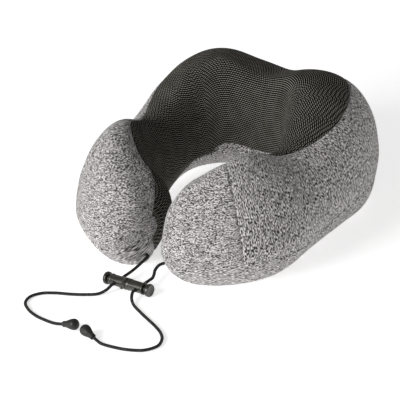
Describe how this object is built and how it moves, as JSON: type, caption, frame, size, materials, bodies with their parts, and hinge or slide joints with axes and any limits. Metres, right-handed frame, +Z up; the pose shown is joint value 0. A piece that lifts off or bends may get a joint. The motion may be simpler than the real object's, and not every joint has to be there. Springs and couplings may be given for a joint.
{
  "type": "u shaped neck pillow",
  "caption": "U shaped travel neck pillow of foam in a sewn grey and black fabric cover, with a zip in the back seam and draw cords closed by a double cord lock.",
  "frame": {"origin": "on the surface the pillow rests on, under the middle of the pillow's own box, without the cords", "axes": "+Z up, the pillow opens towards -Y, +X to the right when looking along +Y; the pillow mirrors about X = 0"},
  "size_m": [0.2474, 0.3757, 0.1379],
  "materials": {
    "grey_fabric": "matte",
    "mesh_fabric": "matte",
    "foam": "matte",
    "zip_tape": "matte",
    "zip_plastic": "satin",
    "zip_metal": "satin",
    "lock_plastic": "satin",
    "spring_steel": "satin",
    "cord_braid": "matte",
    "end_rubber": "matte"
  },
  "bodies": {
    "pillow": {"foam_core": "foam", "neck_panel": "mesh_fabric", "side_panel": "grey_fabric", "tip_panel_left": "grey_fabric", "tip_panel_right": "grey_fabric", "bottom_panel": "grey_fabric", "zip_tape_upper": "zip_tape", "zip_tape_lower": "zip_tape", "zip_coil_upper": "zip_plastic", "zip_coil_lower": "zip_plastic", "zip_stop_left": "zip_metal", "zip_stop_right": "zip_metal", "cord_left": "cord_braid", "cord_right": "cord_braid", "cord_end_left": "end_rubber", "cord_end_right": "end_rubber"},
    "slider": {"zip_slider": "zip_metal"},
    "pull": {"zip_pull": "zip_metal"},
    "lock": {"lock_barrel": "lock_plastic", "lock_spring_left": "spring_steel", "lock_spring_right": "spring_steel"},
    "button_left": {"lock_button_left": "lock_plastic"},
    "button_right": {"lock_button_right": "lock_plastic"}
  },
  "joints": [
    {"name": "zip_slider_travel", "type": "hinge", "parent": "pillow", "child": "slider", "pos_m": [0, -0.20129, 0.0264], "axis": [0, 0, 1], "range_deg": [0, 20.6]},
    {"name": "zip_pull_swing", "type": "hinge", "parent": "slider", "child": "pull", "pos_m": [0.06033, 0.12965, 0.02561], "axis": [0.9838, -0.1793, 0], "range_deg": [0, 120]},
    {"name": "lock_slide", "type": "slide", "parent": "pillow", "child": "lock", "axis": [0, 1, 0], "range_m": [0, 0.009]},
    {"name": "button_left_press", "type": "slide", "parent": "lock", "child": "button_left", "axis": [1, 0, 0], "range_m": [0, 0.003], "stiffness_N_per_m": 400, "springref_m": -0.004, "deforming": ["lock_spring_left"]},
    {"name": "button_right_press", "type": "slide", "parent": "lock", "child": "button_right", "axis": [-1, 0, 0], "range_m": [0, 0.003], "stiffness_N_per_m": 400, "springref_m": -0.004, "deforming": ["lock_spring_right"]}
  ]
}
